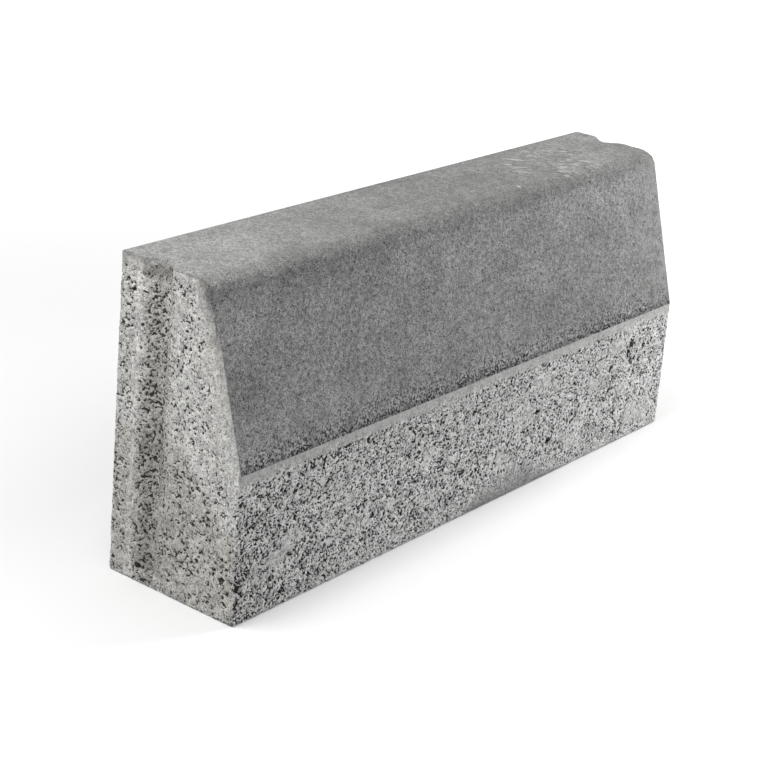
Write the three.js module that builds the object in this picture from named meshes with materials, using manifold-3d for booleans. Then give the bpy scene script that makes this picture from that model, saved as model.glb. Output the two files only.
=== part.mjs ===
// Precast concrete kerb stone with a battered face: one cast block, 700 x 150 x 300 mm.
// X runs along the kerb, +Y is the back (footway side), -Y the road side, +Z is up.
// The origin is the middle of the base. Units are millimetres.
import * as THREE from 'three';
import { mergeVertices } from 'three/addons/utils/BufferGeometryUtils.js';
import Module from 'manifold-3d';

// driving dimensions
const kerbLength = 700;
const kerbHeight = 300;
const baseWidth = 150;
const topWidth = 100; // from the back face to where the top would meet the batter
const kneeHeight = 140; // where the upright lower front turns into the batter
const lowerFrontLean = 3; // how far the lower front leans in between base and knee
const noseRadius = 20; // rounded arris between top and batter
const backArrisRadius = 3;
const kneeRadius = 4;
const baseArrisRadius = 2;

// joint groove, the same in both ends: a rounded V, cast by a tapered rib of the mould
const grooveFromBack = 43.5; // axis of the groove to the back face
const grooveDepth = 13.5; // at the top of the kerb
const grooveFlankAngle = THREE.MathUtils.degToRad(45); // flanks against the plane of the end
const grooveBottomRadius = 8;
const grooveLipRadius = 5; // rounding of the two rims
const grooveFootScale = 0.75; // the rib is slimmer at its foot, so that it draws out upwards
const grooveFootHeight = 10; // the groove stops this far above the base

const arcSteps = 6;
const backY = baseWidth / 2;
const frontY = -baseWidth / 2;

// The corners of the section, counter-clockwise seen with +Y to the right and +Z up.
const sectionCorners = [
  { y: frontY, z: 0, radius: baseArrisRadius },
  { y: backY, z: 0, radius: baseArrisRadius },
  { y: backY, z: kerbHeight, radius: backArrisRadius },
  { y: backY - topWidth, z: kerbHeight, radius: noseRadius },
  { y: frontY + lowerFrontLean, z: kneeHeight, radius: kneeRadius },
];

// A polygon with each corner rounded by its own radius: the arc is tangent to both sides,
// so it starts radius * tan(turn / 2) before the corner.
function roundedPolygon(corners) {
  const shape = new THREE.Shape();
  corners.forEach((corner, i) => {
    const here = new THREE.Vector2(corner.y, corner.z);
    const before = corners[(i + corners.length - 1) % corners.length];
    const after = corners[(i + 1) % corners.length];
    const arriving = new THREE.Vector2(here.x - before.y, here.y - before.z).normalize();
    const leaving = new THREE.Vector2(after.y - here.x, after.z - here.y).normalize();
    const turn = Math.acos(arriving.dot(leaving));
    const tangent = corner.radius * Math.tan(turn / 2);
    const inward = new THREE.Vector2(-arriving.y, arriving.x);
    const arcStart = here.clone().addScaledVector(arriving, -tangent);
    const centre = arcStart.clone().addScaledVector(inward, corner.radius);
    const startAngle = Math.atan2(arcStart.y - centre.y, arcStart.x - centre.x);
    if (i === 0) shape.moveTo(arcStart.x, arcStart.y);
    else shape.lineTo(arcStart.x, arcStart.y);
    shape.absarc(centre.x, centre.y, corner.radius, startAngle, startAngle + turn, false);
  });
  shape.closePath();
  return shape;
}

// The section carried along X, centred on the origin.
function blockGeometry() {
  const geometry = new THREE.ExtrudeGeometry(roundedPolygon(sectionCorners), {
    depth: kerbLength,
    bevelEnabled: false,
    curveSegments: arcSteps,
  });
  // shape x, y and depth become Y, Z and X
  geometry.rotateX(Math.PI / 2).rotateZ(Math.PI / 2);
  geometry.translate(-kerbLength / 2, 0, 0);
  return geometry;
}

// Plan of the mould's rib, with x as the depth into the end and y across it: a bottom arc on the
// axis, straight flanks tangent to it, and a lip arc on either side that eases each flank into
// the end plane. The half width of the mouth follows from those tangents.
function ribPlan() {
  const outside = 6; // the rib reaches this far out of the block
  const arcs = grooveBottomRadius + grooveLipRadius;
  const flankRun = grooveDepth - arcs * (1 - Math.cos(grooveFlankAngle)); // depth taken by a flank
  const mouth = arcs * Math.sin(grooveFlankAngle) + flankRun / Math.tan(grooveFlankAngle);
  const bottomX = grooveDepth - grooveBottomRadius;
  const plan = new THREE.Shape();
  plan.moveTo(-outside, -mouth);
  plan.lineTo(0, -mouth);
  plan.absarc(grooveLipRadius, -mouth, grooveLipRadius, Math.PI, Math.PI - grooveFlankAngle, true);
  plan.absarc(bottomX, 0, grooveBottomRadius, -grooveFlankAngle, grooveFlankAngle, false);
  plan.absarc(grooveLipRadius, mouth, grooveLipRadius, Math.PI + grooveFlankAngle, Math.PI, true);
  plan.lineTo(-outside, mouth);
  plan.closePath();
  return plan;
}

// The rib stands on the groove's foot and passes out through the top of the block. It narrows
// evenly towards its foot, about the axis in the end plane.
function ribGeometry() {
  const overrun = 10;
  const ribHeight = kerbHeight + overrun - grooveFootHeight;
  const geometry = new THREE.ExtrudeGeometry(ribPlan(), {
    depth: ribHeight,
    bevelEnabled: false,
    curveSegments: arcSteps,
  });
  const position = geometry.attributes.position;
  const drafted = kerbHeight - grooveFootHeight;
  for (let i = 0; i < position.count; i += 1) {
    const rise = position.getZ(i) / drafted;
    const scale = grooveFootScale + (1 - grooveFootScale) * rise;
    position.setX(i, position.getX(i) * scale);
    position.setY(i, position.getY(i) * scale);
  }
  geometry.translate(0, 0, grooveFootHeight);
  return geometry;
}

const wasm = await Module();
wasm.setup();

function toSolid(geometry) {
  const bare = geometry.clone();
  bare.deleteAttribute('normal');
  bare.deleteAttribute('uv');
  const merged = mergeVertices(bare, 1e-4);
  const mesh = new wasm.Mesh({
    numProp: 3,
    vertProperties: Float32Array.from(merged.attributes.position.array),
    triVerts: Uint32Array.from(merged.index.array),
  });
  return new wasm.Manifold(mesh);
}

function toGeometry(solid) {
  const mesh = solid.getMesh();
  const geometry = new THREE.BufferGeometry();
  geometry.setAttribute('position', new THREE.BufferAttribute(mesh.vertProperties, 3));
  geometry.setIndex(new THREE.BufferAttribute(mesh.triVerts, 1));
  const faceted = geometry.toNonIndexed();
  faceted.computeVertexNormals();
  return faceted;
}

function kerbStone() {
  const grooveY = backY - grooveFromBack;
  const leftRib = ribGeometry().translate(-kerbLength / 2, grooveY, 0);
  const rightRib = ribGeometry().rotateZ(Math.PI).translate(kerbLength / 2, grooveY, 0);
  const solid = toSolid(blockGeometry()).subtract(toSolid(leftRib)).subtract(toSolid(rightRib));
  const concrete = new THREE.MeshStandardMaterial({
    name: 'concrete',
    color: 0x9c9b98,
    roughness: 0.93,
    metalness: 0,
  });
  const mesh = new THREE.Mesh(toGeometry(solid), concrete);
  mesh.name = 'kerb_stone';
  return mesh;
}

const kerb = new THREE.Group();
kerb.add(kerbStone());

export default kerb;
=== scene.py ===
import math

import bpy
import numpy as np
from mathutils import Matrix, Vector


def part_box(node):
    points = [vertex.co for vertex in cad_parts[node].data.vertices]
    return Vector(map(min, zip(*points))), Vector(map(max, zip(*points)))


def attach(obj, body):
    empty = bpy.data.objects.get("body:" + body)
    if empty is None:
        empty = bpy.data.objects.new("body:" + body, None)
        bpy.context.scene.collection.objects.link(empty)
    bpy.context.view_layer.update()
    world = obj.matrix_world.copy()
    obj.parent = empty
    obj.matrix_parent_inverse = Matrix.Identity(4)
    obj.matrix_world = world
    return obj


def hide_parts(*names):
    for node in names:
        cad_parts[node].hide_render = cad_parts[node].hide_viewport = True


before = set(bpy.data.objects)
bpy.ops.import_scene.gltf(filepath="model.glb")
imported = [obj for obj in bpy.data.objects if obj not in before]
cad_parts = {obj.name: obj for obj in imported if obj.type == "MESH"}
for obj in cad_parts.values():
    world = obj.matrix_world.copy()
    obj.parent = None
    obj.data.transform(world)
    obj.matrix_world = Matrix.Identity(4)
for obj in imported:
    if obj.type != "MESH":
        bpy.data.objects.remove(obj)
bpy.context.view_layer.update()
print("frame loaded:", sorted(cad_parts))


# the cast block: metres, X along the kerb, +Y its back, Z up
kerb = {
    "topWidth": 0.100,  # back face to where the top would meet the batter
    "kneeHeight": 0.140,
    "lowerLean": 0.003,  # how far the lower front leans in at the knee
    "noseRadius": 0.020,
    "kneeRadius": 0.004,
    "backArris": 0.003,
    "baseArris": 0.002,
    "grooveFromBack": 0.0435,
    "grooveDepth": 0.0135,
    "grooveFlank": 45.0,  # degrees against the plane of the end
    "grooveBottom": 0.008,  # radius of its bottom
    "grooveLip": 0.009,  # and of its two rims, which are worn
    "grooveFootScale": 0.75,  # size of the groove at its foot against its top
    "grooveFoot": 0.010,  # height of its foot above the base
    "grooveFade": 0.040,  # how far behind a groove the columns still give way to it
    "gridStep": 0.0010,
    "frontShare": 0.8,  # columns in front of the groove for each gridStep
    "keptTriangles": 195000,
    "sharpFrom": 50.0,  # degrees between two faces that meet in a hard edge
}

# how the faces are marked on the block's vertices
faces = {"end": -1, "base": 0, "front": 1, "top": 2, "back": 3}


def hashLattice(ix, iy, iz, seed):
    # mixes three whole numbers and a seed into one evenly spread 32-bit number: each is multiplied
    # by a large odd number of its own, then the bits are folded down and spread out again
    mixed = np.uint32(seed * 2654435 + 977)
    for whole, factor in ((ix, 73856093), (iy, 19349663), (iz, 83492791)):
        mixed = mixed ^ (whole.astype(np.uint32) * np.uint32(factor))
    for fold, factor in ((15, 2246822519), (13, 3266489917), (16, 1)):
        mixed ^= mixed >> np.uint32(fold)
        mixed *= np.uint32(factor)
    return mixed


def gradientNoise(points, cell, seed):
    # a random slope at each corner of a cubic lattice, blended across the cell by
    # 6t^5 - 15t^4 + 10t^3: smooth, about -1 to 1, with features as wide as one cell
    rng = np.random.default_rng(seed)
    slopes = rng.normal(size=(256, 3))
    slopes /= np.linalg.norm(slopes, axis=1)[:, None]
    inCells = points / cell + 1000.0  # far from the origin, so that no cell has a negative number
    whole = np.floor(inCells)
    part = inCells - whole
    whole = whole.astype(np.int64)
    fade = part ** 3 * (part * (part * 6.0 - 15.0) + 10.0)
    total = np.zeros(len(points))
    for corner in np.ndindex(2, 2, 2):
        step = np.array(corner)
        slope = slopes[hashLattice(*(whole + step).T, seed) & np.uint32(255)]
        weight = np.prod(np.where(step, fade, 1.0 - fade), axis=1)
        total += weight * np.sum(slope * (part - step), axis=1)
    return total * 1.6


def cellPits(points, cell, smallest, largest, share, seed):
    # one pit at a random place in a share of the lattice cells, with a random radius r;
    # its depth is 1 - (distance / r)^2 inside it, and the deepest pit at a point counts
    inCells = points / cell + 1000.0
    whole = np.floor(inCells).astype(np.int64)
    deepest = np.zeros(len(points))
    for shift in np.ndindex(3, 3, 3):
        at = [whole[:, k] + shift[k] - 1 for k in range(3)]
        draws = [hashLattice(*at, seed + k) / 4294967296.0 for k in range(5)]  # 0 to 1
        away = sum((inCells[:, k] - at[k] - draws[k]) ** 2 for k in range(3))
        radius = (smallest + (largest - smallest) * draws[3] ** 2) / cell
        bowl = np.clip(1.0 - away / radius ** 2, 0.0, 1.0) * (draws[4] < share)
        deepest = np.maximum(deepest, bowl)
    return deepest


def grainNoise(points, cell, seed):
    # two octaves of noise and a slow one, about -1 to 1: high between the grains, low on them
    noise = gradientNoise(points, cell, seed) + 0.6 * gradientNoise(points, 0.52 * cell, seed + 1)
    return noise + 0.25 * gradientNoise(points, 3.6 * cell, seed + 2)


def slanted(points):
    # turned about Y by the angle of a 3-4-5 triangle, then 1.08 times as long across the slant and
    # 0.72 along it, so that noise read there comes out longer along the slant
    x, y, z = points.T
    return np.stack([1.08 * (0.8 * x - 0.6 * z), y, 0.72 * (0.6 * x + 0.8 * z)], axis=1)


def smooth(value, low, high):
    # 3t^2 - 2t^3, with t from 0 at low to 1 at high and held beyond them
    t = np.clip((value - low) / (high - low), 0.0, 1.0)
    return t * t * (3.0 - 2.0 * t)


def arcPoints(before, corner, after, radius, steps):
    # the arc that touches both sides of a corner: it starts radius * tan(turn / 2) before the corner
    before, corner, after = (np.array(p, float) for p in (before, corner, after))
    arriving = (corner - before) / np.linalg.norm(corner - before)
    leaving = (after - corner) / np.linalg.norm(after - corner)
    turn = math.acos(arriving @ leaving)
    side = np.sign(arriving[0] * leaving[1] - arriving[1] * leaving[0])
    inward = side * np.array([-arriving[1], arriving[0]])
    centre = corner - arriving * radius * math.tan(turn / 2) + inward * radius
    angle = np.linspace(0.0, turn, steps)[:, None]
    return centre - inward * radius * np.cos(angle) + arriving * radius * np.sin(angle)


def sectionCurves(low, high):
    # the section's outline as four curves, which meet halfway round the arrises: base and top from
    # front to back, and back and front from the foot up
    k = kerb
    back, front, height = high.y, low.y, high.z
    corners = [
        (front, 0.0, k["baseArris"]),
        (back, 0.0, k["baseArris"]),
        (back, height, k["backArris"]),
        (back - k["topWidth"], height, k["noseRadius"]),
        (front + k["lowerLean"], k["kneeHeight"], k["kneeRadius"]),
    ]
    halfway = 12
    arcs = []
    for i, (*corner, radius) in enumerate(corners):
        before, after = corners[i - 1][:2], corners[(i + 1) % 5][:2]
        arcs.append(arcPoints(before, corner, after, radius, 2 * halfway))
    base = np.vstack([arcs[0][halfway:], arcs[1][:halfway]])
    backSide = np.vstack([arcs[1][halfway:], arcs[2][:halfway]])
    top = np.vstack([arcs[2][halfway:], arcs[3][:halfway]])
    frontSide = np.vstack([arcs[3][halfway:], arcs[4], arcs[0][:halfway]])
    return base, backSide, top[::-1], frontSide[::-1]


def groovePlan():
    # plan of the joint groove, from its back lip to its front lip: across it (y) and into the end
    # (x). A rounded V: a lip arc, a straight flank, the bottom arc, and the same mirrored
    k = kerb
    flank = math.radians(k["grooveFlank"])
    arcs = k["grooveBottom"] + k["grooveLip"]
    straight = k["grooveDepth"] - arcs * (1.0 - math.cos(flank))
    mouth = arcs * math.sin(flank) + straight / math.tan(flank)
    lipRadius, bottomRadius = k["grooveLip"], k["grooveBottom"]
    angle = np.linspace(0.0, flank, 6)
    lip = np.stack([mouth - lipRadius * np.sin(angle), lipRadius * (1.0 - np.cos(angle))], axis=1)
    angle = np.linspace(flank, -flank, 12)
    bottomInto = k["grooveDepth"] - bottomRadius * (1.0 - np.cos(angle))
    bottom = np.stack([bottomRadius * np.sin(angle), bottomInto], axis=1)
    along = np.linspace(0.0, 1.0, 14)[1:-1, None]
    half = np.vstack([lip, lip[-1] + (bottom[0] - lip[-1]) * along])
    return np.vstack([half, bottom, half[::-1] * (-1.0, 1.0)]).T


def endGrid(low, high):
    # one end of the block as a grid, from back to front and from base to top: y runs straight to
    # the groove, follows its plan, which shrinks evenly towards its foot, and runs straight on;
    # height is the Coons blend of the four edges. Returns y, z and the depth behind the end plane
    k = kerb
    base, backSide, top, frontSide = sectionCurves(low, high)
    across, into = groovePlan()
    grooveY = high.y - k["grooveFromBack"]
    nBack = int((k["grooveFromBack"] - across[0]) / k["gridStep"])
    nFront = int((high.y - low.y - k["grooveFromBack"] - across[0]) / k["gridStep"] * k["frontShare"])
    nSide = int(high.z / k["gridStep"])
    up = np.linspace(0.0, 1.0, nSide + 1)
    zBack = backSide[0, 1] + up * (backSide[-1, 1] - backSide[0, 1])
    zFront = frontSide[0, 1] + up * (frontSide[-1, 1] - frontSide[0, 1])
    yBack = np.interp(zBack, *backSide.T[::-1])
    yFront = np.interp(zFront, *frontSide.T[::-1])

    rowHeight = zBack.copy()
    rowHeight[[0, -1]] = 0.0, high.z
    shrink = 1.0 - k["grooveFootScale"]
    scale = k["grooveFootScale"] + shrink * (rowHeight - k["grooveFoot"]) / (high.z - k["grooveFoot"])
    groove = grooveY + scale * across[:, None]
    toGroove = (groove[0] - yBack) * np.arange(nBack)[:, None] / nBack
    fromGroove = (yFront - groove[-1]) * np.arange(1, nFront + 1)[:, None] / nFront
    y = np.concatenate([yBack + toGroove, groove, groove[-1] + fromGroove])
    footRow = int(np.searchsorted(zBack, k["grooveFoot"]))
    inside = np.concatenate([np.zeros(nBack), into, np.zeros(nFront)])[:, None]
    inside = inside * scale * (np.arange(nSide + 1) > footRow)

    zBase = np.interp(y[:, 0], *base.T)
    zTop = np.interp(y[:, -1], *top.T)
    u, v = np.linspace(0.0, 1.0, len(y))[:, None], up[None, :]
    z = (1 - v) * zBase[:, None] + v * zTop[:, None] + (1 - u) * zBack + u * zFront
    z -= (1 - u) * (1 - v) * zBase[0] + u * (1 - v) * zBase[-1]
    z -= (1 - u) * v * zTop[0] + u * v * zTop[-1]
    return y, z, inside


def outlineRing(nAcross, nUp):
    # the end grid's rim, once round, with the face of each point
    across, up = np.arange(nAcross), np.arange(1, nUp - 1)
    atBack, atBase = np.zeros(nUp - 2, int), np.zeros(nAcross, int)
    i = np.concatenate([across, atBack + nAcross - 1, across[::-1], atBack])
    j = np.concatenate([atBase, up, atBase + nUp - 1, up[::-1]])
    order = [faces[name] for name in ("base", "front", "top", "back")]
    return i, j, np.repeat(order, [nAcross, nUp - 2, nAcross, nUp - 2])


def castBlock(low, high):
    # the end grid's rim carried along X to the other end; behind each groove it is drawn back, by
    # less and less over grooveFade. Returns points, quads, the face of each point and how far it
    # is from the nearest end arris
    y, z, inside = endGrid(low, high)
    nAcross, nUp = y.shape
    iRing, jRing, ringFace = outlineRing(nAcross, nUp)
    nRing = len(iRing)
    columns = int((high.x - low.x) / kerb["gridStep"])
    x = np.linspace(low.x, high.x, columns + 1)[:, None]
    drawn = inside[iRing, jRing][None, :]
    fromLeft = np.clip(1.0 - (x - low.x) / kerb["grooveFade"], 0.0, 1.0)
    fromRight = np.clip(1.0 - (high.x - x) / kerb["grooveFade"], 0.0, 1.0)
    xWrap = x + drawn * (fromLeft - fromRight)
    yWrap = np.broadcast_to(y[iRing, jRing], xWrap.shape)
    zWrap = np.broadcast_to(z[iRing, jRing], xWrap.shape)
    points = [np.stack([xWrap, yWrap, zWrap], axis=2).reshape(-1, 3)]

    # a quad joins each point of a column with the next column and the next point round
    column, place = np.meshgrid(np.arange(columns), np.arange(nRing), indexing="ij")
    here, onward = column * nRing, (column + 1) * nRing
    after = (place + 1) % nRing
    quads = [np.stack([here + place, onward + place, onward + after, here + after], axis=2)]

    ringIndex = -np.ones((nAcross, nUp), int)
    ringIndex[iRing, jRing] = np.arange(nRing)
    nInner = (nAcross - 2) * (nUp - 2)
    start = len(points[0])
    for outward, rimColumn, plane in ((-1, 0, low.x), (1, columns, high.x)):
        index = np.where(ringIndex >= 0, ringIndex + rimColumn * nRing, -1)
        index[1:-1, 1:-1] = start + np.arange(nInner).reshape(nAcross - 2, nUp - 2)
        start += nInner
        grid = np.stack([plane - outward * inside, y, z], axis=2)[1:-1, 1:-1]
        points.append(grid.reshape(-1, 3))
        corners = [index[:-1, :-1], index[1:, :-1], index[1:, 1:], index[:-1, 1:]]
        if outward > 0:
            corners[1:] = corners[:0:-1]
        quads.append(np.stack(corners, axis=2))

    side = np.full(sum(len(p) for p in points), faces["end"])
    side[: len(points[0])] = np.tile(ringFace, columns + 1)
    # grid steps to the nearest end arris, along the block and across the ends
    column = np.arange(columns + 1)
    along = np.repeat(np.minimum(column, columns - column), nRing)
    i, j = np.meshgrid(np.arange(1, nAcross - 1), np.arange(1, nUp - 1), indexing="ij")
    across = np.minimum(np.minimum(i, nAcross - 1 - i), np.minimum(j, nUp - 1 - j)).ravel()
    fromArris = np.concatenate([along, across, across]) * kerb["gridStep"]
    return np.vstack(points), np.vstack([q.reshape(-1, 4) for q in quads]), side, fromArris


def vertexNormals(points, quads):
    # each face's normal is the cross product of its diagonals; a vertex takes the sum of its faces'
    p = points[quads]
    face = np.cross(p[:, 2] - p[:, 0], p[:, 3] - p[:, 1])
    face /= np.linalg.norm(face, axis=1)[:, None] + 1e-20
    total = np.zeros_like(points)
    for corner in range(4):
        for axis in range(3):
            total[:, axis] += np.bincount(quads[:, corner], face[:, axis], len(points))
    return total / (np.linalg.norm(total, axis=1)[:, None] + 1e-20)


# the relief pressed into the block by its grain and its mould, and worn off it since: metres
relief = {
    "topMix": 0.0095,  # how deep the fine face mix goes below the top
    "batterMix": 0.014,  # and behind the batter
    "kneeBand": 0.0095,  # smooth margin below the knee
    "marginPores": 0.015,  # open-pored margin above the knee
    "grain": 0.0030,  # size of the gaps between the grains of the body mix
    "backGrain": 0.0075,  # coarser on the back and the base, which carry less relief
    "gapDepth": 0.0020,
    "arrisRound": 0.0016,
    "noseRound": 0.0036,  # added to arrisRound at the left end's nose
    "lipRoll": 0.0018,  # how far the groove's front lip is rolled over
    "strayHoles": 0.034,  # spacing of the larger holes where none are listed
    "strayShare": 0.30,  # share of the places that have one
    "holeSmallest": 0.0020,  # radius
    "holeLargest": 0.0040,
    "holeDepth": 0.0040,
}

# larger holes: along the face, height and radius
endHoles = [
    (0.042, 0.015, 0.0024), (-0.058, 0.040, 0.0026), (0.065, 0.277, 0.0018),
    (0.059, 0.269, 0.0017), (-0.003, 0.235, 0.0018), (-0.057, 0.058, 0.0020),
]
frontHoles = [
    (-0.347, 0.035, 0.0042), (-0.336, 0.047, 0.0030), (-0.287, 0.014, 0.0036),
    (-0.276, 0.106, 0.0030), (-0.164, 0.048, 0.0030), (-0.012, 0.107, 0.0032),
    (0.127, 0.039, 0.0044), (0.101, 0.078, 0.0036), (0.168, 0.092, 0.0032),
    (0.237, 0.091, 0.0036), (0.245, 0.079, 0.0036), (0.276, 0.110, 0.0052),
    (0.271, 0.101, 0.0036), (0.278, 0.090, 0.0038), (0.301, 0.103, 0.0032),
]
# closed-up places on the lower front: middle and half size, along it and up
frontPatches = [
    (-0.279, 0.061, 0.017, 0.012), (-0.296, 0.048, 0.012, 0.009), (-0.191, 0.074, 0.011, 0.009),
    (-0.187, 0.044, 0.013, 0.014), (0.103, 0.107, 0.020, 0.013), (0.075, 0.081, 0.016, 0.016),
    (0.044, 0.041, 0.014, 0.010), (0.170, 0.027, 0.012, 0.011), (0.207, 0.080, 0.015, 0.012),
    (0.248, 0.113, 0.016, 0.010), (0.265, 0.062, 0.014, 0.009), (0.300, 0.028, 0.036, 0.019),
    (0.320, 0.056, 0.012, 0.008),
]
# and one on the left end, in the groove just under its mouth: middle and half size, y and up
groovePatch = (0.034, 0.284, 0.007, 0.013)
# the dark patch at the foot of the front: its middle, half length and height
footPatch = (0.068, 0.110, 0.036)

# how open the surface is at each place, added to noise of about -1 to 1: gaps open above 0.3
openness = {
    "end": -0.08,
    "front": 0.12,
    "frontRight": -0.14,  # added from the left to the right end of the front
    "frontArris": 0.05,  # crumbly beside the end arrises
    "leftCorner": 0.08,
    "groove": 0.14,
    "grooveHigh": 0.18,  # added above the groove's lower third
    "grooveTop": -0.12,  # and again near its top
    "backStrip": 0.07,  # between the groove and the back
    "backStripLow": 0.06,
    "underNose": 0.12,
    "lowEnd": 0.10,
    "grooveMouth": -0.22,
    "groovePatch": -0.45,
    "pressed": -1.70,
    "margin": 1.66,  # takes most of that back just above the knee
    "closed": -1.5,
}

# lighter or darker than the mix: share of its tone; painted light and painted shade among them, as
# marked
tones = {
    # painted highlight along the ridge beside the groove's back lip
    "ridge": 0.14,
    "footPatch": -0.54,
    # painted shadow in the groove's mouth, right under the fine mix
    "grooveMouth": -0.50,
    # darker in the groove: partly its open mix, partly painted shade in the recess
    "groove": -0.19,
    "grooveMiddle": -0.08,
    "fineMixOnEnd": -0.13,
    # painted light: lifts the shade of the groove's flanks in the fine mix under the top
    "grooveMixPaintedLight": 0.60,
    "front": -0.02,
    # painted light: the front grows lighter towards its right end
    "frontRight": 0.12,
    "frontFarRight": 0.05,
    "patches": -0.10,
    "leftCorner": -0.08,
    "highEnd": 0.16,
    "lowEnd": -0.05,
    "lowEndMiddle": -0.06,
    "backStrip": -0.06,
    # painted shade: the whole right end is darker
    "rightEnd": -0.14,
    "kneeStrip": -0.27,
    "behindNose": -0.24,
    "nearNose": 0.12,  # takes half of that back at the nose itself
    "endArris": -0.14,
    "endClouds": 0.07,
}

# size and seed of the noises that fray the edges and close patches of the mix up
noises = {
    "broad": (0.022, 42),
    "middle": (0.007, 43),
    "small": (0.0028, 44),
    "patchNoise": (0.015, 45),
}
seeds = {"grain": 51, "strayHoles": 71, "rims": (76, 77, 78)}


def ellipse(a, b, patch):
    # 1 in the middle of the patch, 0 on its rim, below 0 outside
    return 1.0 - np.hypot((a - patch[0]) / patch[2], (b - patch[1]) / patch[3])


def holeBowls(a, b, holes):
    # the deepest of the bowls 1 - (distance / radius)^2 at each point
    deepest = np.zeros(len(a))
    for middleA, middleB, radius in holes:
        away = (a - middleA) ** 2 + (b - middleB) ** 2
        deepest = np.maximum(deepest, 1.0 - away / radius ** 2)
    return deepest


class Zones:
    # the places on the block, one array over its vertices each: 1 inside and 0 outside
    def __init__(self, points, side, fromArris, low, high):
        self.points, self.side, self.fromArris = points, side, fromArris
        self.low, self.high = low, high
        self.x, self.y, self.z = points.T
        self.isEnd, self.isFront = side == faces["end"], side == faces["front"]
        self.leftEnd, self.rightEnd = self.isEnd & (self.x < 0.0), self.isEnd & (self.x > 0.0)
        self.belowTop, self.belowKnee = high.z - self.z, kerb["kneeHeight"] - self.z
        self.onFront = self.isFront & (self.belowKnee > 0.0)
        self.onBatter = self.isFront & (self.belowKnee <= 0.0)
        self.pressed = ((side == faces["top"]) | self.onBatter).astype(float)
        # what carries fine relief: the ends, and the front up to a little above the knee
        self.detail = (self.isEnd | (self.isFront & (-self.belowKnee < 0.016))).astype(float)
        self.towardsRight = np.clip((self.x - low.x) / (high.x - low.x), 0.0, 1.0)
        self.grooveY = high.y - kerb["grooveFromBack"]
        for name, (size, seed) in noises.items():
            setattr(self, name, gradientNoise(points, size, seed))
        self.findNose()
        self.findGroove()
        self.findFineMix()
        self.findPatches()
        self.findStrips()

    def findNose(self):
        # how far a point lies behind the batter's plane, and how far inside the outline of top,
        # nose and batter, which under the nose is measured from the middle of its arc
        k, y, z = kerb, self.y, self.z
        edgeY = self.high.y - k["topWidth"]
        run = self.low.y + k["lowerLean"] - edgeY
        rise = self.high.z - k["kneeHeight"]
        length = math.hypot(run, rise)
        self.batterDepth = ((y - edgeY) * rise - self.belowTop * run) / length
        noseY = edgeY + k["noseRadius"] * (length + run) / rise
        noseZ = self.high.z - k["noseRadius"]
        underNose = (y < noseY) & ((z - noseZ) * rise > (y - noseY) * run)
        fromNose = k["noseRadius"] - np.hypot(y - noseY, z - noseZ)
        self.inside = np.where(underNose, fromNose, np.minimum(self.belowTop, self.batterDepth))
        near = smooth(y, noseY + 0.012, noseY) * smooth(z, noseZ - 0.030, noseZ - 0.005)
        self.nearNose = near * (self.x < 0.0)

    def findGroove(self):
        # the groove's own finish ends past its lips: farther out over the front one, nearer above
        # 0.20 over the back one, and nearer towards the foot
        z = self.z
        backReach = 0.0205 - 0.0035 * smooth(z, 0.20, 0.24)
        reach = np.where(self.y < self.grooveY, 0.0265, backReach) * (0.82 + 0.18 * z / self.high.z)
        fromAxis = np.abs(self.y - self.grooveY - 0.001) + 0.0035 * self.broad
        self.fromAxis = fromAxis + 0.0015 * self.middle
        self.inGroove = self.isEnd * smooth(self.fromAxis, reach, 0.007)
        self.grooveMiddle = smooth(z, 0.09, 0.13) * smooth(z, 0.24, 0.20)

    def findFineMix(self):
        # the fine face mix: under the top, behind the batter and in a band below the knee; and the
        # groove's mouth, right under it, which carries a painted shadow
        s, y, belowTop = relief, self.y, self.belowTop
        ragged = 0.0018 * self.broad + 0.0012 * self.middle
        self.toBack = smooth(y, self.high.y - 0.026, self.high.y - 0.012)
        mixDepth = s["topMix"] + 0.0015 * self.toBack - 0.0034 * self.inGroove
        self.underTop = smooth(mixDepth + ragged - belowTop, -0.0008, 0.0008)
        batterMix = s["batterMix"] + 0.004 * self.broad + 0.003 * self.middle
        self.behindBatter = smooth(batterMix - self.batterDepth, -0.007, 0.004)
        self.behindBatter *= smooth(-self.belowKnee, -0.022, 0.002)
        kneeBand = s["kneeBand"] + 0.0012 * self.middle + 0.0010 * self.small
        self.kneeBand = self.onFront * smooth(kneeBand - self.belowKnee, -0.0007, 0.0007)
        self.grooveMouth = self.isEnd * smooth(self.fromAxis, 0.0175, 0.0125)
        self.grooveMouth *= smooth(belowTop, mixDepth - 0.0005, mixDepth + 0.0005)
        self.grooveMouth *= smooth(belowTop, mixDepth + 0.0115, mixDepth + 0.0075)

    def findPatches(self):
        # where the body mix closed up: at random, where the front's own patches are, and at its foot
        self.randomPatches = smooth(self.patchNoise, 0.36, 0.62) * (1.0 - self.inGroove)
        frayed = 0.30 * self.middle + 0.20 * self.small
        self.ownPatches = np.zeros(len(self.points))
        for patch in frontPatches:
            inPatch = self.onFront * smooth(ellipse(self.x, self.z, patch) + frayed, 0.0, 0.35)
            self.ownPatches = np.maximum(self.ownPatches, inPatch)
        middleX, halfLength, height = footPatch
        foot = 1.0 - np.abs(self.x - middleX) / halfLength - self.z / height
        self.footPatch = self.onFront * smooth(foot + frayed, 0.0, 0.25)
        self.groovePatch = self.leftEnd * smooth(ellipse(self.y, self.z, groovePatch), 0.0, 0.3)

    def findStrips(self):
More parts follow.
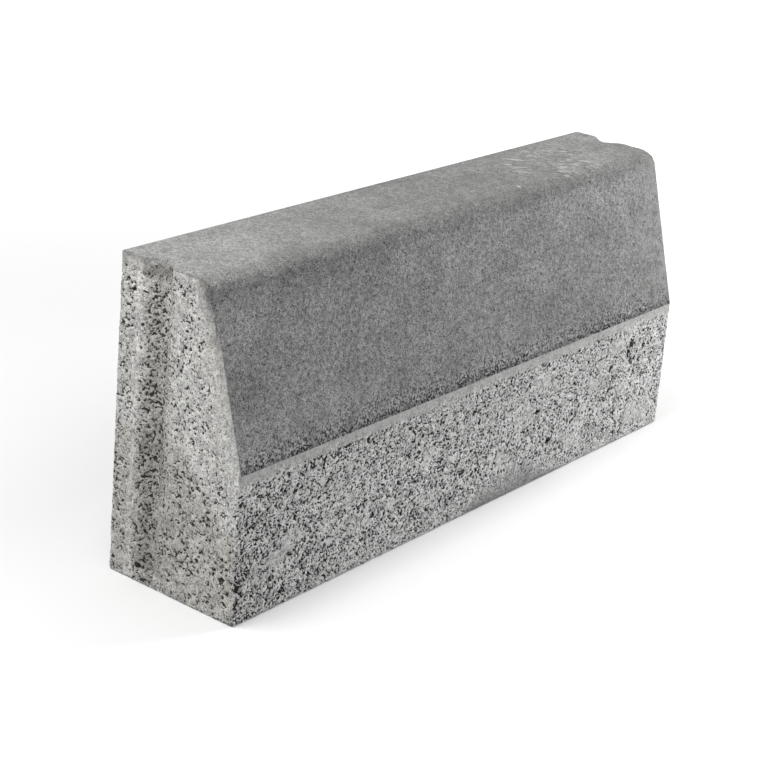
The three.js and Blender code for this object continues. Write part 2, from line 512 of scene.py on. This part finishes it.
        # the ends have a closed-up ridge between groove and back, lightened by a painted highlight,
        # and their lower part, in front of the groove, is darker up to a line that drops towards the
        # front
        x, y, z, backY = self.x, self.y, self.z, self.high.y
        self.upper = smooth(z, 0.24, 0.27)
        ridgeWidth = 0.0050 + 0.0020 * self.upper
        self.ridge = self.isEnd * smooth(np.abs(backY - 0.0215 - y), ridgeWidth, 0.0015)
        self.backStrip = self.isEnd * smooth(y, backY - 0.021, backY - 0.015)
        self.paleFrom = 0.140 + 0.9 * np.minimum(y, 0.0)
        low = smooth(z, self.paleFrom + 0.015, self.paleFrom - 0.020)
        self.lowEnd = self.isEnd * low * smooth(self.grooveY - y, 0.010, 0.022)
        self.frontArris = self.onFront * smooth(self.fromArris, 0.010, 0.002)
        fromCorner = np.hypot(x - self.low.x, z - 0.025) + 0.012 * self.broad
        self.leftCorner = self.onFront * smooth(fromCorner, 0.065, 0.020)
        aboveKnee = np.clip(-self.belowKnee / relief["marginPores"], 0.0, 1.0)
        beyond = smooth(aboveKnee + 0.2 * self.small, 0.15, 1.0)
        self.margin = self.pressed * self.isFront * (1.0 - beyond)
        self.kneeStrip = np.maximum(self.kneeBand, self.isFront & (np.abs(self.belowKnee) < 0.004))


def closedness(at):
    # where the mix closed up against the mould: the fine mix, less so towards the back, and patches
    closed = np.maximum(at.underTop * (1.0 - 0.3 * at.toBack), at.behindBatter)
    closed = np.where(at.isEnd, closed, at.kneeBand)
    closed = np.where(at.side == faces["back"], at.underTop, closed)
    patches = 0.85 * np.maximum(at.randomPatches, at.ownPatches)
    return np.maximum(closed, np.maximum(patches, at.footPatch)) * (1.0 - at.pressed)


def openAmount(at):
    # the amounts of openness, each where its place is
    o, y, z = openness, at.y, at.z
    amount = np.where(at.isEnd, o["end"], o["front"] + o["frontRight"] * at.towardsRight)
    amount = amount + o["frontArris"] * at.frontArris + o["leftCorner"] * at.leftCorner
    groove = o["groove"] + o["grooveHigh"] * smooth(z, 0.05, 0.13)
    groove += o["grooveTop"] * smooth(z, 0.19, 0.24)
    amount += groove * at.inGroove * (1.0 + 0.8 * at.middle)
    amount += (o["backStrip"] + o["backStripLow"] * smooth(z, 0.12, 0.07)) * at.backStrip
    underNose = o["underNose"] * at.isEnd * smooth(np.abs(y), 0.022, 0.008)
    amount += underNose * smooth(z, 0.24, 0.26)
    amount += o["lowEnd"] * at.lowEnd + o["grooveMouth"] * at.grooveMouth
    amount += at.pressed * (o["margin"] * at.margin + o["pressed"])
    return amount + o["groovePatch"] * at.groovePatch


def gapHollows(at, closed):
    # how hollow each point is, from grain noise plus openness: a shallow slope and, from 0.30 to
    # 0.75, a steep one on top. The gaps on the front slant
    amount = openAmount(at)
    where = np.where(at.isFront[:, None], slanted(at.points), at.points)
    rough = (at.side == faces["base"]) | (at.side == faces["back"])
    hollow = np.zeros(len(at.points))
    for size, chosen in ((relief["grain"], at.detail > 0), (relief["backGrain"], rough)):
        opened = grainNoise(where[chosen], size, seeds["grain"]) + amount[chosen]
        opened += openness["closed"] * closed[chosen]
        shallow = np.clip((opened + 0.3) / 0.9, 0.0, 1.0)
        hollow[chosen] = 0.4 * shallow + 0.6 * smooth(opened, 0.30, 0.75)
    return hollow


def largerBowls(at, closed):
    # bowls with wavy rims, read at points moved by noise: the listed ones, and elsewhere stray ones
    s = relief
    waves = [gradientNoise(at.points, 0.004, seed) for seed in seeds["rims"]]
    moved = at.points + 0.0014 * np.stack(waves, axis=1)
    x, y, z = moved.T
    bowls = np.where(at.leftEnd, holeBowls(y, z, endHoles), 0.0)
    bowls = np.where(at.onFront, holeBowls(x, z, frontHoles), bowls)
    sizes = s["holeSmallest"], s["holeLargest"]
    stray = cellPits(moved, s["strayHoles"], *sizes, s["strayShare"], seeds["strayHoles"])
    listed = at.leftEnd | at.onFront
    return np.maximum(bowls, np.where(listed, 0.0, stray * (1.0 - at.pressed) * (1.0 - closed)))


def arrisWear(at):
    # a quarter round of varying radius r along the end arrises: r - sqrt(r^2 - (r - t)^2) deep at t
    # from the arris, and (sqrt(2) - 1) r on the arris itself, whose normal lies halfway
    radius = relief["arrisRound"] * (1.0 + 0.5 * at.middle + 0.8 * smooth(at.broad, 0.2, 0.6))
    radius = radius + relief["noseRound"] * at.nearNose
    inner = np.clip(radius - at.fromArris, 0.0, None)
    worn = radius - np.sqrt(radius ** 2 - inner ** 2)
    return np.where(at.fromArris == 0.0, (math.sqrt(2.0) - 1.0) * radius, worn)


def lipWear(at):
    # the groove's front lip, rolled over below the face mix
    footScale = kerb["grooveFootScale"]
    scale = footScale + (1.0 - footScale) * at.z / at.high.z
    lip = at.isEnd * smooth(np.abs(at.grooveY - 0.019 * scale - at.y), 0.011, 0.0)
    return relief["lipRoll"] * lip * (1.0 + 0.5 * at.broad) * smooth(at.belowTop, 0.015, 0.040)


def castTint(at):
    # the tones, each where its place is, painted light and shade among them
    t, y, z, backY = tones, at.y, at.z, at.high.y
    # the ridge's painted highlight, the foot patch's dark tone and the painted shadow in the groove's
    # mouth
    tint = t["ridge"] * at.ridge + t["footPatch"] * at.footPatch + t["grooveMouth"] * at.grooveMouth
    # darker in the groove below the fine mix: partly its open mix, partly painted shade in the recess
    tint += (t["groove"] + t["grooveMiddle"] * at.grooveMiddle) * at.inGroove * (1.0 - at.underTop)
    # painted light on the fine mix inside the groove, against the shade of its flanks; and the end's
    # fine-mix tone
    tint += at.isEnd * at.underTop * (t["grooveMixPaintedLight"] * at.inGroove + t["fineMixOnEnd"])
    # painted light: the front grows lighter towards its right end
    front = t["front"] + t["frontRight"] * at.towardsRight
    tint += at.onFront * (front + t["frontFarRight"] * smooth(at.x, 0.22, 0.32))
    tint += t["patches"] * at.ownPatches + t["leftCorner"] * at.leftCorner
    tint += at.isEnd * (t["highEnd"] * smooth(z, at.paleFrom - 0.012, at.paleFrom + 0.015))
    tint += (t["lowEnd"] + t["lowEndMiddle"] * smooth(y, -0.020, 0.0)) * at.lowEnd
    tint += at.isEnd * t["backStrip"] * smooth(y, backY - 0.026, backY - 0.018)
    # painted shade darkens the right end; the knee strip's own tone
    tint += t["rightEnd"] * at.rightEnd + t["kneeStrip"] * at.kneeStrip
    behindNose = smooth(at.batterDepth + 0.003 * at.broad, 0.014, 0.008) * smooth(z, 0.17, 0.25)
    nose = (t["behindNose"] + t["nearNose"] * at.nearNose) * behindNose
    nose = nose + t["endArris"] * smooth(at.batterDepth, 0.004, 0.001)
    return tint + at.isEnd * (nose + t["endClouds"] * at.broad)


def castRelief(at):
    # how deep the surface lies under the mould's face, and the masks that the finish reads
    closed = closedness(at)
    hollow = gapHollows(at, closed)
    depth = relief["gapDepth"] * hollow ** 1.2
    depth *= np.where(at.pressed > 0, 0.5, 1.0) * (1.0 - 0.3 * at.inGroove)
    bowls = largerBowls(at, closed)
    depth = np.maximum(depth, relief["holeDepth"] * np.sqrt(np.clip(bowls, 0.0, 1.0)))
    hollow = np.maximum(hollow, 1.9 * smooth(bowls, 0.0, 0.5))
    closed = closed * (1.0 - smooth(bowls, -0.3, 0.2))
    depth = np.maximum(depth, arrisWear(at)) + lipWear(at)

    # closed up as well: the ridge, the strip round the knee and the batter's own ends
    closed = np.maximum(closed, (0.5 + 0.35 * at.upper) * at.ridge)
    closed = np.maximum(closed, at.kneeStrip)
    closed = np.maximum(closed, at.onBatter & (at.fromArris < 0.005))
    # the pressed faces reach a little past the knee and the end arrises: the finish cuts them off
    pastKnee = at.isFront & (at.belowKnee < 0.006)
    reach = 0.0015 + 0.0015 * (at.belowTop < 0.003)
    pastArris = at.isEnd & (at.belowKnee < 0.0) & (at.inside < reach)
    noseReach = 0.0015 + 0.0045 * at.nearNose, 0.0005 + 0.0010 * at.nearNose
    pastNose = at.isEnd * smooth(at.inside, *noseReach)
    pressed = np.maximum(at.pressed, np.maximum(pastKnee | pastArris, pastNose * at.nearNose))
    return depth, {
        "pressed": pressed,
        "detail": at.detail,
        "hollow": hollow,
        "closed": closed,
        "tint": castTint(at),
        "endFace": at.isEnd.astype(float),
    }


def newMesh(name, points, quads, attributes):
    mesh = bpy.data.meshes.new(name)
    mesh.vertices.add(len(points))
    mesh.vertices.foreach_set("co", points.astype(np.float32).ravel())
    mesh.loops.add(quads.size)
    mesh.loops.foreach_set("vertex_index", quads.astype(np.int32).ravel())
    mesh.polygons.add(len(quads))
    mesh.polygons.foreach_set("loop_start", np.arange(0, quads.size, 4, dtype=np.int32))
    for key, values in attributes.items():
        layer = mesh.attributes.new(key, "FLOAT", "POINT")
        layer.data.foreach_set("value", values.astype(np.float32))
    mesh.update(calc_edges=True)
    mesh.validate()
    return mesh


def thinned(mesh, name, triangles):
    # collapses edges where the surface is nearly flat, so that the triangles stay with the pits
    worker = bpy.data.objects.new(name, mesh)
    bpy.context.scene.collection.objects.link(worker)
    thin = worker.modifiers.new("thin", "DECIMATE")
    thin.ratio = triangles / (2.0 * len(mesh.polygons))
    graph = bpy.context.evaluated_depsgraph_get()
    slim = bpy.data.meshes.new_from_object(worker.evaluated_get(graph), depsgraph=graph)
    slim.name = name
    bpy.data.objects.remove(worker)
    bpy.data.meshes.remove(mesh)
    return slim


def keepInside(mesh, low, high):
    # holds every vertex inside the CAD box
    places = np.empty(len(mesh.vertices) * 3, np.float32)
    mesh.vertices.foreach_get("co", places)
    places = np.clip(places.reshape(-1, 3), np.array(low), np.array(high))
    mesh.vertices.foreach_set("co", places.ravel())
    mesh.update()


def makeKerb():
    low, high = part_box("kerb_stone")
    points, quads, side, fromArris = castBlock(low, high)
    print("block grid:", len(points), "points")
    depth, masks = castRelief(Zones(points, side, fromArris, low, high))
    points = points - vertexNormals(points, quads) * depth[:, None]
    mesh = newMesh("dense_block", points, quads, masks)
    mesh = thinned(mesh, "cast_kerb", kerb["keptTriangles"])
    keepInside(mesh, low, high)
    mesh.polygons.foreach_set("use_smooth", np.ones(len(mesh.polygons), bool))
    mesh.set_sharp_from_angle(angle=math.radians(kerb["sharpFrom"]))
    piece = bpy.data.objects.new("cast_kerb", mesh)
    bpy.context.scene.collection.objects.link(piece)
    print("cast block:", len(mesh.polygons), "faces,", [a.name for a in mesh.attributes])
    return piece


# the concrete's colours, and where the pressed faces of top and batter are lighter or darker,
# with painted shade on the nose and painted light at the top's ends
concrete = {
    "pressedDark": (0.120, 0.120, 0.120),
    "pressedPale": (0.325, 0.325, 0.321),
    "pressedGrey": (0.192, 0.192, 0.189),
    "pressedSpeck": (0.020, 0.020, 0.020),
    "pressedWorn": (0.290, 0.290, 0.286),
    "scuff": (0.420, 0.420, 0.415),
    "mouldDark": (0.250, 0.250, 0.248),
    "mouldPale": (0.720, 0.720, 0.712),
    "mouldGrey": (0.430, 0.430, 0.425),
    "topCast": (1.006, 1.0, 0.987),  # the top is a shade warmer than the batter
    "endCast": (1.010, 0.986, 0.938),  # and the ends more so, where they are darker
    # painted shade in the pores
    "poreDark": (0.030, 0.029, 0.028),
    "topGrey": 0.38,  # how much of pressedGrey is in the top
    "bandPaintedShade": 0.12,  # painted shade on the batter's band under the nose
    "nosePaintedShade": (0.17, 0.20),  # painted shade on the nose, along most of it and at its left end
    "topFrontPaintedShade": 0.06,  # painted shade on the top's front half
    "dimPlace": (0.150, 0.170, 0.060, 0.038),  # on the batter: middle and half size, along and up
    "dimDark": 0.12,
    "wornRight": 0.55,  # how much of pressedWorn is in the batter's right end
    "paintedLightLeft": 0.21,  # painted light: the top's left and right ends are this much lighter
    "paintedLightRight": 0.13,
    "scuffPlace": (0.215, 0.018, 0.090, 0.050),  # on the top: middle and half size, along and across
    "scuffTurn": 50.0,  # degrees
    "chipPlace": (0.108, -0.014, 0.0042, 0.0030),
    "bumpStrength": 0.9,
    "bumpHeight": 0.0014,
    "roughness": 0.92,
    "specular": 0.25,
}


class NodeDesk:
    # short hand for the nodes of one material or world
    def __init__(self, owner):
        owner.use_nodes = True
        self.tree = owner.node_tree
        self.tree.nodes.clear()

    def add(self, kind, feeds=None, **settings):
        # feeds: what goes into each input, an output of another node or a plain value
        node = self.tree.nodes.new(kind)
        for key, value in settings.items():
            setattr(node, key, value)
        for key, value in (feeds or {}).items():
            if hasattr(value, "is_output"):
                self.tree.links.new(value, node.inputs[key])
            else:
                node.inputs[key].default_value = value
        return node

    def ramp(self, value, low, high, start=0.0, end=1.0):
        # start where the value is at low, end where it is at high, and smooth between
        feeds = {"Value": value, "From Min": low, "From Max": high, "To Min": start, "To Max": end}
        return self.add("ShaderNodeMapRange", feeds, interpolation_type="SMOOTHSTEP").outputs["Result"]

    def math(self, operation, a, b=0.0):
        return self.add("ShaderNodeMath", {0: a, 1: b}, operation=operation).outputs[0]

    def times(self, first, *others):
        for other in others:
            first = self.math("MULTIPLY", first, other)
        return first

    def plus(self, a, b):
        return self.math("ADD", a, b)

    def less(self, a, b):
        return self.math("SUBTRACT", a, b)

    def rest(self, share):
        return self.math("SUBTRACT", 1.0, share)

    def larger(self, a, b):
        return self.math("MAXIMUM", a, b)


class ConcreteDesk(NodeDesk):
    # and for the concrete, with the places and the noises that more than one of its finishes reads
    def __init__(self, owner):
        super().__init__(owner)
        self.where = self.add("ShaderNodeTexCoord").outputs["Object"]
        parts = self.add("ShaderNodeSeparateXYZ", {0: self.where})
        self.along, self.across, self.height = parts.outputs
        self.onTop = self.ramp(self.height, 0.286, 0.298)
        self.onEnd = self.attribute("endFace")
        self.elsewhere = self.rest(self.attribute("detail"))  # without fine relief in the mesh
        self.sand = self.noise(0.0013, detail=1.0, roughness=0.6)
        self.clumps = self.noise(0.0042, detail=2.0)
        self.blotch = self.noise(0.011, detail=3.0)
        self.grit = self.plus(self.times(self.sand, 0.60), self.times(self.clumps, 0.40))

    def attribute(self, name):
        return self.add("ShaderNodeAttribute", attribute_name=name).outputs["Fac"]

    def noise(self, size, detail, roughness=0.55, distortion=0.0, where=None):
        feeds = {"Scale": 1.0 / size, "Detail": detail, "Roughness": roughness}
        feeds.update({"Distortion": distortion, "Vector": where or self.where})
        return self.add("ShaderNodeTexNoise", feeds).outputs["Fac"]

    def vector(self, operation, value, by):
        return self.add("ShaderNodeVectorMath", {0: value, 1: by}, operation=operation).outputs[0]

    def shifted(self, by):
        return self.vector("ADD", self.where, (by, by, by))

    def turned(self, degrees, scale):
        # turned about Z, then stretched, so that a small first scale draws streaks along the new X
        feeds = {"Vector": self.where, "Angle": math.radians(degrees)}
        node = self.add("ShaderNodeVectorRotate", feeds, rotation_type="Z_AXIS")
        return self.vector("MULTIPLY", node.outputs[0], scale)

    def inEllipse(self, a, b, patch):
        # 1 well inside the patch, fading to 0 at its rim
        u = self.times(self.less(a, patch[0]), 1.0 / patch[2])
        v = self.times(self.less(b, patch[1]), 1.0 / patch[3])
        return self.ramp(self.plus(self.times(u, u), self.times(v, v)), 1.0, 0.3)

    def byEnd(self, elsewhere, onEnd):
        return self.ramp(self.onEnd, 0.0, 1.0, elsewhere, onEnd)

    def scaled(self, tone, by):
        return self.add("ShaderNodeVectorMath", {0: tone, "Scale": by}, operation="SCALE").outputs[0]

    def darker(self, tone, by):
        return self.scaled(tone, self.rest(by))

    def mix(self, factor, a, b):
        a, b = (value if hasattr(value, "is_output") else (*value, 1.0) for value in (a, b))
        return self.add("ShaderNodeMix", {"Factor": factor, 6: a, 7: b}, data_type="RGBA").outputs[2]


def pressedTone(desk):
    # the top and the batter: sandy grain, dark specks crowded above the knee, scuffs on the top,
    # painted shade on the nose and painted light at the top's ends
    c, along, across, height, onTop = concrete, desk.along, desk.across, desk.height, desk.onTop
    ramp, times, mix, scaled = desk.ramp, desk.times, desk.mix, desk.scaled
    broad, dust = desk.noise(0.050, detail=4.0), desk.noise(0.0010, detail=0.0)
    cloud = desk.noise(0.016, detail=3.0, where=desk.shifted(0.81))
    fleck = desk.noise(0.0022, detail=1.0, where=desk.shifted(0.37))

    tone = mix(ramp(desk.grit, 0.35, 0.67), c["pressedDark"], c["pressedPale"])
    kneeward = times(ramp(height, 0.172, 0.142), ramp(cloud, 0.34, 0.60, 0.55, 1.0))
    specks = desk.plus(fleck, times(kneeward, 0.138))
    speckle = times(ramp(specks, 0.62, 0.68), desk.larger(kneeward, 0.75))
    glints = times(kneeward, 0.5, ramp(fleck, 0.44, 0.36))
    tone = mix(glints, tone, c["scuff"])
    tone = scaled(tone, ramp(kneeward, 0.0, 1.0, 1.0, 1.10))
    tone = mix(speckle, tone, c["pressedSpeck"])
    tone = mix(times(onTop, c["topGrey"]), tone, c["pressedGrey"])
    tone = scaled(tone, ramp(dust, 0.30, 0.70, 0.80, 1.18))
    tone = scaled(tone, ramp(broad, 0.25, 0.75, 0.88, 1.12))
    tone = scaled(tone, ramp(cloud, 0.30, 0.70, 0.91, 1.09))

    # darker: painted shade on a band under the nose, on the nose and on the top's front half;
    # and a cloud on the batter
    band = times(ramp(height, 0.262, 0.278), ramp(height, 0.294, 0.284))
    tone = desk.darker(tone, times(band, ramp(along, 0.15, -0.05), c["bandPaintedShade"]))
    fromBatter = ramp(height, 0.278, 0.290)
    onNose = times(ramp(height, 0.3002, 0.2970), fromBatter)
    noseShade = times(onNose, ramp(along, -0.22, -0.33, *c["nosePaintedShade"]))
    topFront = times(ramp(across, 0.010, -0.012), fromBatter)
    tone = desk.darker(tone, desk.plus(noseShade, times(topFront, c["topFrontPaintedShade"])))
    tone = desk.darker(tone, times(desk.inEllipse(along, height, c["dimPlace"]), c["dimDark"]))

    # paler: clouds at the batter's right end, and painted light on both ends of the top
    rightEnd = times(ramp(along, 0.270, 0.345), desk.rest(onTop))
    rightEnd = times(rightEnd, ramp(desk.blotch, 0.40, 0.62))
    tone = mix(times(rightEnd, c["wornRight"]), tone, c["pressedWorn"])
    paintedLightLeft = ramp(along, -0.10, -0.35, 0.0, c["paintedLightLeft"])
    paintedLightRight = ramp(along, 0.08, 0.30, 0.0, c["paintedLightRight"])
    paler = times(onTop, desk.plus(paintedLightLeft, paintedLightRight))
    tone = scaled(tone, desk.plus(paler, 1.0))

    streaked = desk.turned(c["scuffTurn"], (0.22, 1.0, 1.0))
    streaks = desk.noise(0.0040, detail=2.0, distortion=0.8, where=streaked)
    scuffed = times(desk.inEllipse(along, across, c["scuffPlace"]), onTop)
    scuffed = times(scuffed, ramp(desk.blotch, 0.38, 0.50), ramp(streaks, 0.545, 0.63))
    chipped = desk.inEllipse(along, across, c["chipPlace"])
    chipped = times(chipped, times(onTop, ramp(fleck, 0.44, 0.56)))
    tone = mix(desk.larger(scuffed, chipped), tone, c["scuff"])
    return mix(onTop, tone, desk.vector("MULTIPLY", tone, c["topCast"]))


def pressedMask(desk):
    # the pressed faces, ended sharply at the knee and, below the nose, at the batter's end arrises
    pressed = desk.times(desk.attribute("pressed"), desk.ramp(desk.height, 0.1396, 0.1402))
    nearEnd = desk.ramp(desk.math("ABSOLUTE", desk.along), 0.3482, 0.3488)
    rubbed = desk.times(nearEnd, desk.ramp(desk.height, 0.262, 0.238))
    return desk.times(pressed, desk.rest(rubbed))


def closedMask(desk):
    # the closed-up mix; the fine mix under the top is drawn on the back, whose mesh is too coarse
    frayed = desk.plus(desk.height, desk.ramp(desk.blotch, 0.30, 0.70, -0.0012, 0.0012))
    drawn = desk.times(desk.elsewhere, desk.ramp(frayed, 0.2890, 0.2910))
    return desk.larger(desk.attribute("closed"), drawn)


def mouldTone(desk, closed, tint):
    # the faces that lay against the mould: a pale matrix, greyer with upright marks where it closed
    # up, and warmer on the ends where they are darker
    c = concrete
    mixed = desk.plus(desk.times(desk.sand, 0.45), desk.times(desk.clumps, 0.35))
    mixed = desk.plus(mixed, desk.times(desk.blotch, 0.20))
    mixed = desk.plus(mixed, desk.byEnd(0.02, 0.0))
    tone = desk.mix(desk.ramp(mixed, 0.34, 0.66), c["mouldDark"], c["mouldPale"])
    tone = desk.mix(desk.times(closed, 0.4), tone, c["mouldGrey"])
    upright = desk.vector("MULTIPLY", desk.where, (1.0, 1.0, 0.10))
    drawn = desk.noise(0.004, detail=2.0, where=upright)
    marks = desk.times(closed, desk.onEnd, desk.ramp(drawn, 0.38, 0.62, -0.24, 0.22))
    tone = desk.scaled(tone, desk.plus(marks, 1.0))
    warm = desk.times(desk.onEnd, desk.ramp(tint, 0.14, -0.04, 0.45, 1.0))
    return desk.mix(warm, tone, desk.vector("MULTIPLY", tone, c["endCast"]))


def poreShades(desk, pressed, closed):
    # how dark the pores are, in painted shade over the shade that the mesh's own hollows cast:
    # those hollows, hollows drawn on the faces without fine relief, and fine pores. Returns the shade
    # and its deep part
    openFace = desk.times(desk.rest(pressed), desk.rest(closed))
    coarse = desk.noise(0.0046, detail=1.5, roughness=0.6)
    drawnPores = desk.times(desk.ramp(coarse, 0.50, 0.66), desk.times(desk.elsewhere, openFace))
    ownHollows = desk.less(desk.attribute("hollow"), desk.times(desk.elsewhere, 0.5))
    hollow = desk.larger(ownHollows, drawnPores)
    fine = desk.noise(0.0022, detail=1.0, roughness=0.6)
    fray = desk.times(desk.less(fine, 0.5), desk.byEnd(5.2, 2.8))
    fray = desk.times(fray, desk.larger(desk.rest(pressed), hollow))
    ragged = desk.less(desk.plus(desk.times(hollow, desk.byEnd(0.8, 0.82)), fray), 0.07)
    unclosed = desk.larger(desk.rest(closed), pressed)
    deep = desk.times(desk.ramp(ragged, 0.31, 0.59), unclosed)
    finePores = desk.times(desk.ramp(fine, 0.58, 0.68), openFace, desk.byEnd(0.7, 0.5))
    return desk.times(desk.larger(finePores, deep), desk.byEnd(1.0, 0.92)), deep


def castConcrete():
    # the pressed finish where the pressed mask is 1, and the mould's finish elsewhere; both take
    # the relief's tint, with its painted light and shade, the pores' painted shade and a fine bump
    c = concrete
    material = bpy.data.materials.new("cast_concrete")
    desk = ConcreteDesk(material)
    pressed, closed, tint = pressedMask(desk), closedMask(desk), desk.attribute("tint")
    shade, deep = poreShades(desk, pressed, closed)
    tone = desk.mix(pressed, mouldTone(desk, closed, tint), pressedTone(desk))
    tone = desk.scaled(tone, desk.plus(tint, 1.0))
    tone = desk.mix(shade, tone, c["poreDark"])

    rise = desk.times(desk.grit, desk.ramp(pressed, 0.0, 1.0, 0.35, 0.45))
    rise = desk.less(rise, desk.times(deep, 0.7))
    feeds = {"Strength": c["bumpStrength"], "Distance": c["bumpHeight"], "Height": rise}
    bump = desk.add("ShaderNodeBump", feeds)
    feeds = {"Roughness": c["roughness"], "Specular IOR Level": c["specular"]}
    feeds.update({"Base Color": tone, "Normal": bump.outputs["Normal"]})
    shader = desk.add("ShaderNodeBsdfPrincipled", feeds)
    desk.add("ShaderNodeOutputMaterial", {"Surface": shader.outputs["BSDF"]})
    print("concrete:", len(desk.tree.nodes), "nodes")
    return material


kerbPiece = makeKerb()
kerbPiece.data.materials.clear()
kerbPiece.data.materials.append(castConcrete())
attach(kerbPiece, "root")
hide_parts("kerb_stone")


# the studio: floor, world, lamps and camera
studio = {
    "floorGrey": 0.82,
    # a glow that the camera alone sees on the floor: faint around the kerb, which keeps its
    # shadow, and stronger further out, where little lamp light falls
    "glow": (0.03, 0.61),
    "glowReach": (0.25, 1.60),
    "worldStrength": 0.58,
    "floorSize": 40.0,
}

# lamps: place, what they point at, size and power
lamps = {
    "key": ((-0.6, 0.1, 1.1), (-0.3, 0.0, 0.2), 0.6, 9.2),
    "fill": ((1.1, -0.5, 0.9), (0.35, 0.0, 0.2), 0.6, 14.0),
}

lens = {
    "place": (-1.4871, -1.0457, 0.8214),
    "aim": (-0.0643, 0.0, 0.1280),
    "roll": 5.416,  # degrees
    "focalLength": 92.84,
    "sensor": 36.0,
}


def cameraOnly(desk, seen, lit):
    # what the camera sees directly, and what lights the scene
    rays = desk.add("ShaderNodeLightPath").outputs
    either = desk.larger(rays["Is Camera Ray"], rays["Is Glossy Ray"])
    either = desk.larger(either, rays["Is Transmission Ray"])
    return desk.add("ShaderNodeMixShader", {0: either, 1: lit, 2: seen}).outputs[0]


def makeFloor():
    half = studio["floorSize"] / 2
    corners = [(-half, -half, 0.0), (half, -half, 0.0), (half, half, 0.0), (-half, half, 0.0)]
    mesh = bpy.data.meshes.new("floor")
    mesh.from_pydata(corners, [], [(0, 1, 2, 3)])
    floor = bpy.data.objects.new("floor", mesh)
    bpy.context.scene.collection.objects.link(floor)
    material = bpy.data.materials.new("floor_paper")
    desk = NodeDesk(material)
    paper = desk.add("ShaderNodeBsdfDiffuse", {"Color": (*[studio["floorGrey"]] * 3, 1.0)}).outputs[0]
    where = desk.add("ShaderNodeTexCoord").outputs["Object"]
    away = desk.add("ShaderNodeVectorMath", {0: where}, operation="LENGTH").outputs["Value"]
    strength = desk.ramp(away, *studio["glowReach"], *studio["glow"])
    glow = desk.add("ShaderNodeEmission", {"Strength": strength}).outputs[0]
    both = desk.add("ShaderNodeAddShader", {0: paper, 1: glow}).outputs[0]
    desk.add("ShaderNodeOutputMaterial", {"Surface": cameraOnly(desk, both, paper)})
    mesh.materials.append(material)


def makeWorld():
    # lights the scene at worldStrength, and is plain white to the camera
    world = bpy.data.worlds.new("studio_air")
    bpy.context.scene.world = world
    desk = NodeDesk(world)
    seen = desk.add("ShaderNodeLightPath").outputs["Is Camera Ray"]
    feeds = {"Value": seen, "To Min": studio["worldStrength"], "To Max": 1.0}
    strength = desk.add("ShaderNodeMapRange", feeds).outputs["Result"]
    air = desk.add("ShaderNodeBackground", {"Strength": strength})
    desk.add("ShaderNodeOutputWorld", {"Surface": air.outputs[0]})


def makeLight(name, place, aim, size, power):
    data = bpy.data.lights.new(name, "AREA")
    data.shape = "DISK"
    data.size = size
    data.energy = power
    light = bpy.data.objects.new(name, data)
    bpy.context.scene.collection.objects.link(light)
    light.location = place
    light.rotation_euler = (Vector(aim) - Vector(place)).to_track_quat("-Z", "Y").to_euler()


def makeCamera():
    data = bpy.data.cameras.new("lens")
    data.sensor_width = lens["sensor"]
    data.lens = lens["focalLength"]
    camera = bpy.data.objects.new("lens", data)
    bpy.context.scene.collection.objects.link(camera)
    sight = Vector(lens["aim"]) - Vector(lens["place"])
    turn = sight.to_track_quat("-Z", "Y").to_matrix()
    turn = turn @ Matrix.Rotation(math.radians(lens["roll"]), 3, "Z")
    camera.matrix_world = Matrix.Translation(Vector(lens["place"])) @ turn.to_4x4()
    bpy.context.scene.camera = camera


makeFloor()
makeWorld()
for name, (place, aim, size, power) in lamps.items():
    makeLight(name, place, aim, size, power)
makeCamera()
bpy.context.scene.view_settings.view_transform = "Standard"
print("studio ready")
